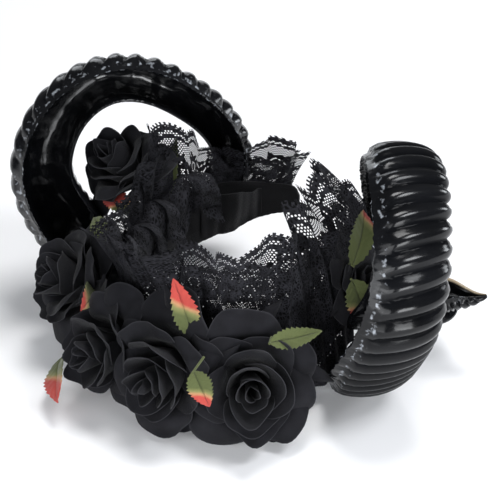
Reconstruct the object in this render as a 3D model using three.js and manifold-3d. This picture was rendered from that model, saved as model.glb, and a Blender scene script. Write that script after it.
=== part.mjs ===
// A horn headband: a fabric-covered hoop with two hollow curled horns, fabric roses, leaves and a lace ruffle.
// Millimetres, +Z up. The hoop lies on its side: its crown points to -Y, its two free ends to +Y.
import * as THREE from "three";
import { mergeVertices } from "three/addons/utils/BufferGeometryUtils.js";
import Module from "manifold-3d";

const wasm = await Module();
wasm.setup();

// Clearance between pieces that touch on the real thing
const SEAT_GAP = 0.35;

// Hoop: an open ellipse seen from above, its band standing upright
const HOOP_HALF_WIDTH = 70;
const HOOP_HALF_LENGTH = 88;
const HOOP_CENTRE_Y = 12;
const HOOP_END_TURN = 160;
const HOOP_STATIONS = 34;
const BAND_WALL = 2.6;
const BAND_HEIGHT = 40;
const BAND_END_HEIGHT = 20;
const BAND_TAPER_TURN = 112;
const BAND_LEVEL = 34;
const BAND_RISE = 14;

// Loose fold of the covering cloth, standing off the inner face of one leg
const FOLD_TURN = -127;
const FOLD_SPAN_TURN = 30;
const FOLD_WALL = 1.2;
const FOLD_LIFT = 9;
const FOLD_GATHER = 1.1;
const FOLD_ROWS = 4;
const FOLD_COLUMNS = 12;

// Horn: a half shell that winds round an axis through its curl centre
const HORN_OUT = 23;
const HORN_BACK = 15;
const HORN_UP = 33;
const HORN_CENTRE = new THREE.Vector3(
  HOOP_HALF_WIDTH + HORN_OUT,
  HOOP_CENTRE_Y + HORN_BACK,
  BAND_LEVEL + HORN_UP,
);
const HORN_OPEN_SIDE = new THREE.Vector3(-0.63, -0.73, 0.26);
const HORN_RADIUS = 90;
const HORN_LIFT = 67;
const HORN_WIDTH = 48;
const HORN_DEPTH = 46;
const HORN_WALL = 1.2;
const HORN_TURN = 440;
const HORN_BASE_ANGLE = 262;
const RIB_HEIGHT = 3.4;
const RIB_COUNT = 35;
const OUTER_OVERHANG = 36;
const INNER_OVERHANG = 14;
const SHELL_POINTS = 6;

// One row for each station of a horn: turn from the base in degrees, the rim's reach from the curl centre,
// its lift toward the head, and the section's width and depth, all as shares of the sizes above
const HORN_STATIONS = [
  { turn: 0, reach: 0.86, lift: 0.34, width: 0.9, depth: 0.96 },
  { turn: 52, reach: 0.82, lift: 0.6, width: 0.85, depth: 1.22 },
  { turn: 102, reach: 1.0, lift: 0.64, width: 0.75, depth: 1.08 },
  { turn: 152, reach: 1.03, lift: 0.66, width: 0.58, depth: 1.0 },
  { turn: 202, reach: 0.82, lift: 0.36, width: 0.54, depth: 0.86 },
  { turn: 252, reach: 0.72, lift: -0.04, width: 0.5, depth: 0.72 },
  { turn: 312, reach: 0.54, lift: -0.5, width: 0.43, depth: 0.56 },
  { turn: 360, reach: 0.28, lift: -0.5, width: 0.45, depth: 0.5 },
  { turn: 400, reach: 0.16, lift: -0.68, width: 0.42, depth: 0.42 },
  { turn: 440, reach: 0.17, lift: -1.0, width: 0.05, depth: 0.05 },
];

// Roses: one row each, with the turn on the hoop where the stem is fixed, the flower's front centre out from
// the hoop and up from the band's middle, its size, all as shares of the rose's radius, and the way it faces
const ROSE_RADIUS = 40;
const ROSE_PETAL_WALL = 2;
const ROSE_DEPTH = 1.15;
const STEM_RADIUS = 5;
const BUD_SIDES = 6;
const ROSES = [
  { name: "rose_a", turn: -88, out: 0.86, up: 1.5, size: 0.74, facing: [-0.45, -0.35, 0.8] },
  { name: "rose_b", turn: -44, out: 1.36, up: 0.5, size: 0.88, facing: [-0.5, -0.72, 0.5] },
  { name: "rose_c", turn: -13, out: 1.48, up: 0.02, size: 0.95, facing: [-0.3, -0.94, 0.12] },
  { name: "rose_d", turn: 9, out: 1.62, up: 0.08, size: 1.04, facing: [0.02, -0.99, 0.08] },
  { name: "rose_e", turn: 37, out: 1.73, up: 0.18, size: 1.05, facing: [0.6, -0.74, 0.3] },
  { name: "rose_f", turn: 92, out: 0.75, up: 0.67, size: 0.62, facing: [0.85, 0.15, 0.45] },
];
const PETAL_WHORLS = [
  { petals: 5, spread: 1.0, height: 0.62, turn: 0, span: 38, columns: 4 },
  { petals: 3, spread: 0.58, height: 0.92, turn: 30, span: 62, columns: 3 },
];

// Leaves: one row each, with the base and the tip as a turn on the hoop, out from it and up from the band's
// middle as shares of a leaf's length, and the width and bow as shares of a leaf's width
const LEAF_WALL = 1.2;
const LEAF_LENGTH = 50;
const LEAF_WIDTH = 26;
const LEAF_CREASE = 0.12;
const LEAVES = [
  { name: "leaf_1", base: [-34, 0.25, 0.14], tip: [-33, 0.88, 0.3], width: 0.92, bow: 0.19 },
  { name: "leaf_2", base: [18, 0.18, 0.11], tip: [6, 0.29, 1.04], width: 1.08, bow: 0.19 },
  { name: "leaf_3", base: [-22, 0.36, -0.37], tip: [-22, 1.45, -0.53], width: 1.0, bow: 0.15 },
  { name: "leaf_4", base: [22, 1.0, 0.02], tip: [22, 1.6, -0.42], width: 0.92, bow: 0.15 },
  { name: "leaf_5", base: [-73, 0.15, 0.46], tip: [-69, 0.47, 1.07], width: 0.92, bow: 0.15 },
  { name: "leaf_6", base: [-64, 0.12, 0.04], tip: [-66, 0.72, 0.72], width: 0.77, bow: 0.15 },
  { name: "leaf_7", base: [101, 0.13, 0.27], tip: [112, -0.15, 1.05], width: 0.92, bow: 0.23 },
  { name: "leaf_8", base: [82, 0.13, 0.0], tip: [93, 0.36, 0.13], width: 0.92, bow: 0.15 },
  { name: "leaf_9", base: [59, 0.13, 0.13], tip: [58, 0.72, -0.03], width: 1.08, bow: -0.15 },
  { name: "leaf_10", base: [-96, 0.13, 0.44], tip: [-104, 0.2, 1.23], width: 0.77, bow: 0.12 },
];

// Lace ruffle: gathered along the band's outer face and standing above it
const LACE_WALL = 1;
const LACE_FOLDS = 20;
const LACE_FOLD_DEPTH = 9;
const LACE_HEIGHT = 96;
const LACE_FOOT = 4;
const LACE_STANDOFF = 2.2;
const LACE_END_TURN = 157;
// One row for each place round the hoop: height and outward lean at the top edge as shares of the lace's height
const LACE_PLACES = [
  { turn: -157, height: 0.5, lean: 0.04 },
  { turn: -125, height: 0.62, lean: 0.02 },
  { turn: -100, height: 0.85, lean: -0.06 },
  { turn: -80, height: 0.93, lean: -0.12 },
  { turn: -67, height: 0.85, lean: -0.08 },
  { turn: -55, height: 0.76, lean: 0.0 },
  { turn: -45, height: 0.72, lean: 0.08 },
  { turn: -36, height: 0.8, lean: 0.15 },
  { turn: -25, height: 0.96, lean: 0.21 },
  { turn: -5, height: 1.0, lean: 0.17 },
  { turn: 35, height: 1.0, lean: 0.1 },
  { turn: 70, height: 0.98, lean: 0.02 },
  { turn: 88, height: 1.0, lean: -0.14 },
  { turn: 105, height: 1.0, lean: -0.3 },
  { turn: 128, height: 1.0, lean: -0.42 },
  { turn: 157, height: 0.6, lean: -0.12 },
];
// The ruffle is gathered from three lengths: one row each, with the first and last quarter fold
const LACE_PARTS = [
  { name: "lace_left", first: 0, last: 26 },
  { name: "lace_front", first: 26, last: 54 },
  { name: "lace_right", first: 54, last: 80 },
];

const BLACK_PLASTIC = { color: 0x17181b, roughness: 0.25, metalness: 0.0 };
const ROSE_CLOTH = { color: 0x26262b, roughness: 0.9, metalness: 0.0 };
const BAND_CLOTH = { color: 0x141416, roughness: 0.85, metalness: 0.0 };
const LACE_THREAD = { color: 0x101013, roughness: 0.8, metalness: 0.0 };
const LEAF_CLOTH = { color: 0x7c8446, roughness: 0.8, metalness: 0.0 };

const radians = THREE.MathUtils.degToRad;

// Smooth value of one column of a table at a turn, through every row
function tableValue(rows, column, turn) {
  const last = rows.length - 1;
  if (turn <= rows[0].turn) return rows[0][column];
  if (turn >= rows[last].turn) return rows[last][column];
  const i = rows.findIndex((row) => row.turn > turn) - 1;
  const [a, b] = [rows[i], rows[i + 1]];
  const before = rows[Math.max(i - 1, 0)];
  const after = rows[Math.min(i + 2, last)];
  const step = b.turn - a.turn;
  const t = (turn - a.turn) / step;
  const slopeA = ((b[column] - before[column]) / (b.turn - before.turn)) * step;
  const slopeB = ((after[column] - a[column]) / (after.turn - a.turn)) * step;
  const t2 = t * t;
  const t3 = t2 * t;
  const atA = (2 * t3 - 3 * t2 + 1) * a[column] + (t3 - 2 * t2 + t) * slopeA;
  const atB = (3 * t2 - 2 * t3) * b[column] + (t3 - t2) * slopeB;
  return atA + atB;
}

// Geometry from points and triangles
function geometryFrom(points, triangles) {
  const geometry = new THREE.BufferGeometry().setFromPoints(points);
  geometry.setIndex(triangles);
  return geometry;
}

// A closed body through rings of points; a strip across each end ring joins its two halves
function loftRings(rings) {
  const size = rings[0].length;
  const half = size / 2;
  const triangles = [];
  for (let r = 0; r < rings.length - 1; r += 1) {
    for (let i = 0; i < size; i += 1) {
      const j = (i + 1) % size;
      const [a, b] = [r * size + i, r * size + j];
      triangles.push(a, b, b + size, a, b + size, a + size);
    }
  }
  const endCap = (start, flip) => {
    for (let i = 0; i < half - 1; i += 1) {
      const [a, b] = [start + i, start + i + 1];
      const [c, d] = [start + size - 2 - i, start + size - 1 - i];
      const quad = flip ? [a, b, c, a, c, d] : [a, c, b, a, d, c];
      triangles.push(...quad);
    }
  };
  endCap(0, false);
  endCap((rings.length - 1) * size, true);
  return geometryFrom(rings.flat(), triangles);
}

// The same grid of points with its four edges moved outward
function stretched(grid, reach) {
  const lastRow = grid.length - 1;
  const lastColumn = grid[0].length - 1;
  const away = (point, from) => point.clone().sub(from).setLength(reach);
  return grid.map((row, r) => row.map((point, c) => {
    const moved = point.clone();
    if (r === 0) moved.add(away(point, grid[1][c]));
    if (r === lastRow) moved.add(away(point, grid[lastRow - 1][c]));
    if (c === 0) moved.add(away(point, row[1]));
    if (c === lastColumn) moved.add(away(point, row[lastColumn - 1]));
    return moved;
  }));
}

// A sheet of cloth as a closed body: a grid of points with a wall laid half to each side
function sheetBody(grid, wall) {
  const rows = grid.length;
  const columns = grid[0].length;
  const normals = grid.map((row, r) => row.map((point, c) => {
    const along = new THREE.Vector3().subVectors(row[Math.min(c + 1, columns - 1)], row[Math.max(c - 1, 0)]);
    const upper = grid[Math.min(r + 1, rows - 1)][c];
    const across = new THREE.Vector3().subVectors(upper, grid[Math.max(r - 1, 0)][c]);
    return along.cross(across).normalize();
  }));
  const side = (sign) => grid.flatMap((row, r) => row.map((point, c) => (
    point.clone().addScaledVector(normals[r][c], (sign * wall) / 2)
  )));
  const triangles = [];
  const back = rows * columns;
  for (let r = 0; r < rows - 1; r += 1) {
    for (let c = 0; c < columns - 1; c += 1) {
      const a = r * columns + c;
      const [b, d] = [a + 1, a + columns];
      triangles.push(a, b, d + 1, a, d + 1, d);
      triangles.push(back + a, back + d + 1, back + b, back + a, back + d, back + d + 1);
    }
  }
  const border = [];
  for (let c = 0; c < columns - 1; c += 1) border.push(c);
  for (let r = 0; r < rows - 1; r += 1) border.push(r * columns + columns - 1);
  for (let c = columns - 1; c > 0; c -= 1) border.push((rows - 1) * columns + c);
  for (let r = rows - 1; r > 0; r -= 1) border.push(r * columns);
  border.forEach((a, i) => {
    const b = border[(i + 1) % border.length];
    triangles.push(a, back + a, back + b, a, back + b, b);
  });
  return geometryFrom([...side(1), ...side(-1)], triangles);
}

// A geometry as a solid that can be joined and cut
function solidOf(geometry) {
  const plain = geometry.clone();
  plain.deleteAttribute("normal");
  plain.deleteAttribute("uv");
  const merged = mergeVertices(plain, 1e-4);
  const mesh = new wasm.Mesh({
    numProp: 3,
    vertProperties: new Float32Array(merged.attributes.position.array),
    triVerts: new Uint32Array(merged.index.array),
  });
  return new wasm.Manifold(mesh);
}

// The largest body of a solid, so that a cut leaves no loose scrap
function largestBody(solid) {
  const bodies = solid.decompose();
  return bodies.reduce((best, body) => (body.volume() > best.volume() ? body : best));
}

function geometryOf(solid) {
  const mesh = solid.getMesh();
  const geometry = new THREE.BufferGeometry();
  geometry.setAttribute("position", new THREE.BufferAttribute(new Float32Array(mesh.vertProperties), 3));
  geometry.setIndex(new THREE.BufferAttribute(new Uint32Array(mesh.triVerts), 1));
  return geometry;
}

const joined = (solids) => solids.reduce((whole, solid) => whole.add(solid));
const cut = (solid, cutters) => largestBody(cutters.reduce((rest, cutter) => rest.subtract(cutter), solid));

// The hoop's plan at a turn from the crown: the point on its inner face line and the way outward
function hoopPlace(turn) {
  const angle = radians(turn);
  const point = new THREE.Vector3(
    HOOP_HALF_WIDTH * Math.sin(angle),
    HOOP_CENTRE_Y - HOOP_HALF_LENGTH * Math.cos(angle),
    BAND_LEVEL + (BAND_RISE * (1 - Math.cos(angle))) / 2,
  );
  const outward = new THREE.Vector3(
    Math.sin(angle) / HOOP_HALF_WIDTH,
    -Math.cos(angle) / HOOP_HALF_LENGTH,
    0,
  ).normalize();
  return { point, outward };
}

// A point out from the hoop and up from the band's middle, at a turn from the crown
function placeBy(turn, out, up) {
  const { point, outward } = hoopPlace(turn);
  return point.addScaledVector(outward, out).add(new THREE.Vector3(0, 0, up));
}

function bandHeight(turn) {
  const taper = THREE.MathUtils.smoothstep(Math.abs(turn), BAND_TAPER_TURN, HOOP_END_TURN);
  return THREE.MathUtils.lerp(BAND_HEIGHT, BAND_END_HEIGHT, taper);
}

// The hoop's band; grow makes it larger all round, to cut what seats on it
function bandGeometry(grow) {
  const rings = [];
  const endTurn = HOOP_END_TURN + grow / 2;
  for (let i = 0; i < HOOP_STATIONS; i += 1) {
    const turn = endTurn * ((2 * i) / (HOOP_STATIONS - 1) - 1);
    const { point, outward } = hoopPlace(turn);
    const half = bandHeight(turn) / 2 + grow;
    const inner = -grow;
    const outer = BAND_WALL + grow;
    const corner = (offset, z) => (
      point.clone().addScaledVector(outward, offset).add(new THREE.Vector3(0, 0, z))
    );
    rings.push([corner(inner, -half), corner(inner, half), corner(outer, half), corner(outer, -half)]);
  }
  return loftRings(rings);
}

// The open side's direction and the two directions across it, for the horn at +X
const hornFacing = HORN_OPEN_SIDE.clone().normalize();
const hornAcross = new THREE.Vector3(0, 0, -1).cross(hornFacing).normalize();
const hornUp = new THREE.Vector3().crossVectors(hornAcross, hornFacing).normalize();

// The point of the horn's outer rim at a turn from the base
function rimPoint(turn) {
  const angle = radians(HORN_BASE_ANGLE - turn);
  const reach = HORN_RADIUS * tableValue(HORN_STATIONS, "reach", turn);
  const lift = HORN_LIFT * tableValue(HORN_STATIONS, "lift", turn);
  return HORN_CENTRE.clone()
    .addScaledVector(hornAcross, reach * Math.cos(angle))
    .addScaledVector(hornUp, reach * Math.sin(angle))
    .addScaledVector(hornFacing, lift);
}

// One section of the horn's shell: the outer wall from rim to rim, then the inner wall back
function hornRing(turn, ribLift, grow) {
  const step = 0.5;
  const ahead = rimPoint(Math.min(turn + step, HORN_TURN));
  const tangent = ahead.sub(rimPoint(Math.max(turn - step, 0))).normalize();
  const rim = rimPoint(turn);
  const angle = radians(HORN_BASE_ANGLE - turn);
  const radial = hornAcross.clone().multiplyScalar(Math.cos(angle)).addScaledVector(hornUp, Math.sin(angle));
  radial.addScaledVector(tangent, -radial.dot(tangent)).normalize();
  const back = new THREE.Vector3().crossVectors(tangent, radial).normalize();
  const halfWidth = (HORN_WIDTH * tableValue(HORN_STATIONS, "width", turn)) / 2;
  const depth = HORN_DEPTH * tableValue(HORN_STATIONS, "depth", turn);
  const outer = radians(OUTER_OVERHANG);
  const inner = radians(INNER_OVERHANG);
  const halfDepth = depth / (1 + Math.sin(outer));
  const wall = Math.min(HORN_WALL, halfWidth * 0.6);
  const lip = grow / halfWidth;
  const arc = (inset, lift) => {
    const points = [];
    for (let i = 0; i < SHELL_POINTS; i += 1) {
      const share = i / (SHELL_POINTS - 1);
      const at = -outer - lip + share * (Math.PI + outer + inner + 2 * lip);
      const swell = lift * Math.sqrt(Math.sin(Math.PI * share));
      const across = (halfWidth - inset + swell) * Math.cos(at) - halfWidth * Math.cos(outer);
      const inward = (halfDepth - inset + swell) * Math.sin(at) + halfDepth * Math.sin(outer);
      points.push(rim.clone().addScaledVector(radial, across).addScaledVector(back, inward));
    }
    return points;
  };
  return [...arc(-grow, ribLift), ...arc(wall + grow, 0).reverse()];
}

// The horn at +X: two sections for each rib, its crest and its valley
function hornGeometry(grow) {
  const rings = [];
  const stations = RIB_COUNT * 2;
  for (let i = 0; i <= stations; i += 1) {
    const turn = HORN_TURN * (i / stations);
    const size = tableValue(HORN_STATIONS, "width", turn);
    const crest = i % 2 === 1 ? RIB_HEIGHT * Math.min(1, size * 1.3) : 0;
    rings.push(hornRing(turn, crest, grow));
  }
  return loftRings(rings);
}

// The same body on the other side of the wearer's head
function mirrored(geometry) {
  const twin = geometry.clone().scale(-1, 1, 1);
  const index = Array.from(twin.index.array);
  for (let i = 0; i < index.length; i += 3) [index[i + 1], index[i + 2]] = [index[i + 2], index[i + 1]];
  twin.setIndex(index);
  return twin;
}

// One petal, its root in the flower's core; grow thickens it, to cut what lies beside it
function petalSolid(radius, whorl, index, grow) {
  const depth = radius * ROSE_DEPTH;
  const middle = radians(whorl.turn + (360 / whorl.petals) * index);
  const span = radians(whorl.span);
  const root = 0.1 * radius;
  const reach = whorl.spread * radius;
  const rows = 3;
  const columns = whorl.columns;
  const grid = [];
  for (let r = 0; r < rows; r += 1) {
    const v = r / (rows - 1);
    const row = [];
    for (let c = 0; c < columns; c += 1) {
      const u = (2 * c) / (columns - 1) - 1;
      const fan = v < 0.2 ? 0.55 : 1 - 0.18 * v;
      const angle = middle + u * span * fan;
      const out = root + (reach - root) * Math.pow(v, 0.75) * (1 - 0.1 * u * u * v);
      const up = -depth + depth * whorl.height * Math.pow(v, 1.4) + depth * 0.16 * u * u * v;
      row.push(new THREE.Vector3(out * Math.cos(angle), out * Math.sin(angle), up));
    }
    grid.push(row);
  }
  return solidOf(sheetBody(stretched(grid, grow), ROSE_PETAL_WALL + 2 * grow));
}

// Where a flower sits: its matrix, and the heel at its back
function flowerPlace(row) {
  const flower = new THREE.Object3D();
  const facing = new THREE.Vector3(...row.facing).normalize();
  flower.quaternion.setFromUnitVectors(new THREE.Vector3(0, 0, 1), facing);
  flower.position.copy(placeBy(row.turn, row.out * ROSE_RADIUS, row.up * ROSE_RADIUS));
  flower.updateMatrix();
  const heel = flower.position.clone().addScaledVector(facing, -row.size * ROSE_RADIUS * ROSE_DEPTH);
  return { matrix: flower.matrix, heel };
}

// A rose with its stem: petals in whorls round a bud, its front centre at the row's place
function roseSolid(row, grow) {
  const radius = row.size * ROSE_RADIUS;
  const depth = radius * ROSE_DEPTH;
  const bud = [
    [0, -1.08], [0.12, -1.08], [0.2, -0.9], [0.28, -0.6], [0.3, -0.3], [0.2, -0.02], [0, -0.1],
  ].map(([out, up]) => new THREE.Vector2(out ? out * radius + grow : 0, up * depth));
  const core = solidOf(new THREE.LatheGeometry(bud, BUD_SIDES).rotateX(Math.PI / 2));
  const petals = PETAL_WHORLS.flatMap((whorl) => (
    Array.from({ length: whorl.petals }, (_, index) => petalSolid(radius, whorl, index, grow))
  ));
  const { matrix, heel } = flowerPlace(row);
  const placed = joined([core, ...petals]).transform(matrix.toArray());
  return placed.add(stemSolid(heel, row.turn, grow));
}

// The space that a rose takes up, to cut what lies beside it
function roseSpace(row) {
  const radius = row.size * ROSE_RADIUS;
  const depth = radius * ROSE_DEPTH;
  const outline = [[0, -1.1], [0.3, -1.1], [0.75, -0.8], [1.04, -0.42], [1.04, -0.2], [0.7, 0.03], [0, 0.03]]
    .map(([out, up]) => new THREE.Vector2(out * radius, up * depth));
  const space = new THREE.LatheGeometry(outline, 12).rotateX(Math.PI / 2);
  const { matrix, heel } = flowerPlace(row);
  return solidOf(space.applyMatrix4(matrix)).add(stemSolid(heel, row.turn, SEAT_GAP));
}

// A straight stem from the flower's heel into the band's outer face
function stemSolid(heel, seatTurn, grow) {
  const { point, outward } = hoopPlace(seatTurn);
  const foot = point.clone().addScaledVector(outward, BAND_WALL / 2);
  foot.z = THREE.MathUtils.clamp(heel.z, foot.z - BAND_HEIGHT / 3, foot.z + BAND_HEIGHT / 3);
  const along = new THREE.Vector3().subVectors(heel, foot);
  const length = along.length() + STEM_RADIUS;
  const stem = new THREE.CylinderGeometry(STEM_RADIUS + grow, STEM_RADIUS + grow, length, 8);
  stem.translate(0, length / 2, 0);
  const turned = new THREE.Object3D();
  turned.quaternion.setFromUnitVectors(new THREE.Vector3(0, 1, 0), along.normalize());
  turned.position.copy(foot);
  turned.updateMatrix();
  return solidOf(stem.applyMatrix4(turned.matrix));
}

// A leaf: a pointed sheet folded along its midrib and bowed between base and tip
function leafSolid(row, grow) {
  const spot = ([turn, out, up]) => placeBy(turn, out * LEAF_LENGTH, up * LEAF_LENGTH);
  const base = spot(row.base);
  const along = spot(row.tip).sub(base);
  const length = along.length();
  along.normalize();
  const { outward } = hoopPlace(row.base[0]);
  const across = new THREE.Vector3().crossVectors(along, outward).normalize();
  const face = new THREE.Vector3().crossVectors(across, along).normalize();
  const width = row.width * LEAF_WIDTH;
  const outline = [0.16, 0.72, 1.0, 0.86, 0.5, 0.06];
  const grid = outline.map((share, r) => {
    const v = r / (outline.length - 1);
    const middle = base.clone().addScaledVector(along, v * length);
    middle.addScaledVector(face, row.bow * LEAF_WIDTH * Math.sin(Math.PI * v));
    return [-1, 0, 1].map((u) => (
      middle.clone()
        .addScaledVector(across, (u * share * width) / 2)
        .addScaledVector(face, Math.abs(u) * share * width * LEAF_CREASE)
    ));
  });
  return solidOf(sheetBody(stretched(grid, grow), LEAF_WALL + 2 * grow));
}

// One length of the lace: a pleated sheet along the hoop's outer face
function laceSolid(part, grow) {
  const steps = LACE_FOLDS * 4;
  const rows = [0, 0.42, 1];
  const grid = rows.map((share) => {
    const row = [];
    for (let i = part.first; i <= part.last; i += 1) {
      const turn = LACE_END_TURN * ((2 * i) / steps - 1);
      const { point, outward } = hoopPlace(turn);
      const height = LACE_HEIGHT * tableValue(LACE_PLACES, "height", turn);
      const lean = LACE_HEIGHT * tableValue(LACE_PLACES, "lean", turn);
      const clear = BAND_WALL + LACE_STANDOFF;
      const fold = LACE_FOLD_DEPTH * share * Math.sin((i * Math.PI) / 2);
      const above = Math.max(share - 0.42, 0) / 0.58;
      const out = clear + (share > 0.5 ? fold : Math.abs(fold) * 0.6) + lean * above * above;
      const foot = point.z - bandHeight(turn) / 2 + LACE_FOOT;
      const place = point.clone().addScaledVector(outward, out);
      place.z = foot + (height - LACE_FOOT) * share;
      row.push(place);
    }
    return row;
  });
  return solidOf(sheetBody(stretched(grid, grow), LACE_WALL + 2 * grow));
}

// The loose fold: cloth gathered along both edges and arching off the band between them, wider at the top
function foldSolid() {
  const grid = [];
  for (let r = 0; r < FOLD_ROWS; r += 1) {
    const v = r / (FOLD_ROWS - 1);
    const row = [];
    for (let c = 0; c <= FOLD_COLUMNS; c += 1) {
      const u = (2 * c) / FOLD_COLUMNS - 1;
      const turn = FOLD_TURN + (u * FOLD_SPAN_TURN) / 2;
      const arch = FOLD_LIFT * Math.pow(Math.cos((Math.PI * u) / 2), 2) * (0.35 + 0.65 * v);
      const gather = FOLD_GATHER * (1 - Math.cos(c * Math.PI)) * 0.5;
      const off = SEAT_GAP + FOLD_WALL + arch + gather;
      row.push(placeBy(turn, -off, (v - 0.5) * bandHeight(turn) * (0.9 - 0.12 * u * u)));
    }
    grid.push(row);
  }
  return solidOf(sheetBody(grid, FOLD_WALL));
}

const band = solidOf(bandGeometry(0));
const bandCutter = solidOf(bandGeometry(SEAT_GAP));
const hornRightWhole = solidOf(hornGeometry(0));
const hornLeftWhole = solidOf(mirrored(hornGeometry(0)));
const hornRight = cut(hornRightWhole, [bandCutter]);
const hornLeft = cut(hornLeftWhole, [bandCutter]);
const hornCutters = [solidOf(hornGeometry(SEAT_GAP)), solidOf(mirrored(hornGeometry(SEAT_GAP)))];

const pieces = [
  ["headband", band, BAND_CLOTH],
  ["band_fold", cut(foldSolid(), [bandCutter]), BAND_CLOTH],
  ["horn_right", hornRight, BLACK_PLASTIC],
  ["horn_left", hornLeft, BLACK_PLASTIC],
];
const cutters = [bandCutter, ...hornCutters];
const spaces = [];
ROSES.forEach((row) => {
  pieces.push([row.name, cut(roseSolid(row, 0), [...cutters, ...spaces]), ROSE_CLOTH]);
  spaces.push(roseSpace(row));
});
const laceCutters = [];
LACE_PARTS.forEach((part) => {
  pieces.push([part.name, cut(laceSolid(part, 0), [...cutters, ...spaces, ...laceCutters]), LACE_THREAD]);
  laceCutters.push(laceSolid(part, SEAT_GAP));
});
cutters.push(...laceCutters, ...ROSES.map((row) => roseSolid(row, SEAT_GAP)));
LEAVES.forEach((row) => {
  pieces.push([row.name, cut(leafSolid(row, 0), cutters), LEAF_CLOTH]);
  cutters.push(leafSolid(row, SEAT_GAP));
});

const headpiece = new THREE.Group();
pieces.forEach(([name, solid, finish]) => {
  const mesh = new THREE.Mesh(geometryOf(solid), new THREE.MeshStandardMaterial(finish));
  mesh.name = name;
  headpiece.add(mesh);
});

// The origin stands at the middle of the floor that the whole thing covers
const box = new THREE.Box3().setFromObject(headpiece);
const middle = box.getCenter(new THREE.Vector3());
headpiece.position.set(-middle.x, -middle.y, -box.min.z);

export default headpiece;
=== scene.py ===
import math

import bpy
import numpy as np
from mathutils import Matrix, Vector


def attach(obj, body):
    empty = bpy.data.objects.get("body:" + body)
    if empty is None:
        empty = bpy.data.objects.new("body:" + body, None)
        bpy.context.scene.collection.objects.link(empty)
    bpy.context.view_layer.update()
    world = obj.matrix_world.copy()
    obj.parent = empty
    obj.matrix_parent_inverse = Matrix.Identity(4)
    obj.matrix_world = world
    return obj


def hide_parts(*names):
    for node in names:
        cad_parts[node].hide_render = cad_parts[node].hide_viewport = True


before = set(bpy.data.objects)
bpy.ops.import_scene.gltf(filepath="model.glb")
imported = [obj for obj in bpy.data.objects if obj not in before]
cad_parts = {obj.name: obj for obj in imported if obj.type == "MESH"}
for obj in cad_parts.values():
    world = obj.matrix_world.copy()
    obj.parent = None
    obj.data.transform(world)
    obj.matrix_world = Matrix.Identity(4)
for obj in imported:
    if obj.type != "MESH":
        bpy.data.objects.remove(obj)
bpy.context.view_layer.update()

bpy.ops.object.select_all(action="DESELECT")

# The view: the headband lies on a pale floor, seen from the front left and from above.
AIM = Vector((-0.0107, 0.0451, 0.0546))
TOWARD_CAMERA = Vector((0.504, -0.693, 0.515)).normalized()
CAMERA_DISTANCE = 1.5

bpy.ops.object.camera_add(location=AIM + TOWARD_CAMERA * CAMERA_DISTANCE)
camera = bpy.context.object
camera.rotation_euler = TOWARD_CAMERA.to_track_quat("Z", "Y").to_euler()
camera.data.sensor_width = 36
camera.data.lens = 163.6
camera.data.clip_start = 0.05
bpy.context.scene.camera = camera


def soft_light(name, place, size, power, tint):
    bpy.ops.object.light_add(type="AREA", location=place)
    lamp = bpy.context.object
    lamp.name = name
    lamp.data.size = size
    lamp.data.energy = power
    lamp.data.color = tint
    lamp.rotation_euler = (Vector(place) - AIM).to_track_quat("Z", "Y").to_euler()


soft_light("light_top", (0.05, 0.3, 1.9), 0.7, 21, (1.0, 1.0, 1.0))
soft_light("light_right", (0.86, 0.1, 1.2), 0.4, 9, (0.95, 0.97, 1.0))
soft_light("light_behind_left", (-0.95, 1.0, 0.55), 0.6, 3, (0.92, 0.96, 1.0))
soft_light("light_behind_right", (0.75, 1.3, 0.4), 0.45, 7, (0.92, 0.96, 1.0))
soft_light("light_low_front", (0.46, -1.05, 0.24), 0.75, 8, (0.95, 0.97, 1.0))
soft_light("light_front", (-0.15, -1.25, 0.6), 0.9, 6.5, (0.95, 0.97, 1.0))
soft_light("light_front_right", (1.05, -0.38, 0.24), 0.4, 7, (0.96, 0.98, 1.0))

world = bpy.data.worlds.new("studio")
world.use_nodes = True
world.node_tree.nodes["Background"].inputs["Color"].default_value = (0.94, 0.96, 1.0, 1)
world.node_tree.nodes["Background"].inputs["Strength"].default_value = 0.12
bpy.context.scene.world = world
bpy.context.scene.view_settings.view_transform = "Standard"

bpy.ops.mesh.primitive_plane_add(size=12, location=(0, 0, -0.0006))
floor = bpy.context.object
floor.name = "floor"
floor_paint = bpy.data.materials.new("floor_paint")
floor_paint.use_nodes = True
floor_paint.node_tree.nodes["Principled BSDF"].inputs["Base Color"].default_value = (0.93, 0.93, 0.94, 1)
floor_paint.node_tree.nodes["Principled BSDF"].inputs["Roughness"].default_value = 0.9
floor.data.materials.append(floor_paint)

# Hoop: an open U band of springy plastic, covered with black cloth that is glued round it,
# with small puckers along both edges and a crease across one leg.
ROW_SHIFT = np.array([0.0, 19.164, 9.320])
HOOP_HALF_WIDTH = 70.0
HOOP_HALF_LENGTH = 88.0
HOOP_CENTRE_Y = 12.0
HOOP_END_TURN = 160.0
CLOTH_END_TURN = 163.0
CLOTH_ROUND_TURN = 7.0
BAND_WALL = 2.6
BAND_HEIGHT = 40.0
BAND_END_HEIGHT = 20.0
BAND_TAPER_TURN = 112.0
BAND_LEVEL = 34.0
BAND_RISE = 14.0
CREASE_TURN = -96.0
CREASE_RIDGE_TURN = -92.0
UP = np.array([0.0, 0.0, 1.0])


def hoop_place(turn):
    """Points of the hoop's inner face line, in millimetres, and the ways outward and along it."""
    angle = np.radians(turn)
    point = np.stack([
        HOOP_HALF_WIDTH * np.sin(angle),
        HOOP_CENTRE_Y - HOOP_HALF_LENGTH * np.cos(angle),
        BAND_LEVEL + BAND_RISE * (1 - np.cos(angle)) / 2,
    ], axis=-1) + ROW_SHIFT
    outward = np.stack([
        np.sin(angle) / HOOP_HALF_WIDTH,
        -np.cos(angle) / HOOP_HALF_LENGTH,
        np.zeros_like(angle),
    ], axis=-1)
    outward /= np.linalg.norm(outward, axis=-1, keepdims=True)
    along = np.stack([-outward[..., 1], outward[..., 0], np.zeros_like(angle)], axis=-1)
    return point, outward, along


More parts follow.
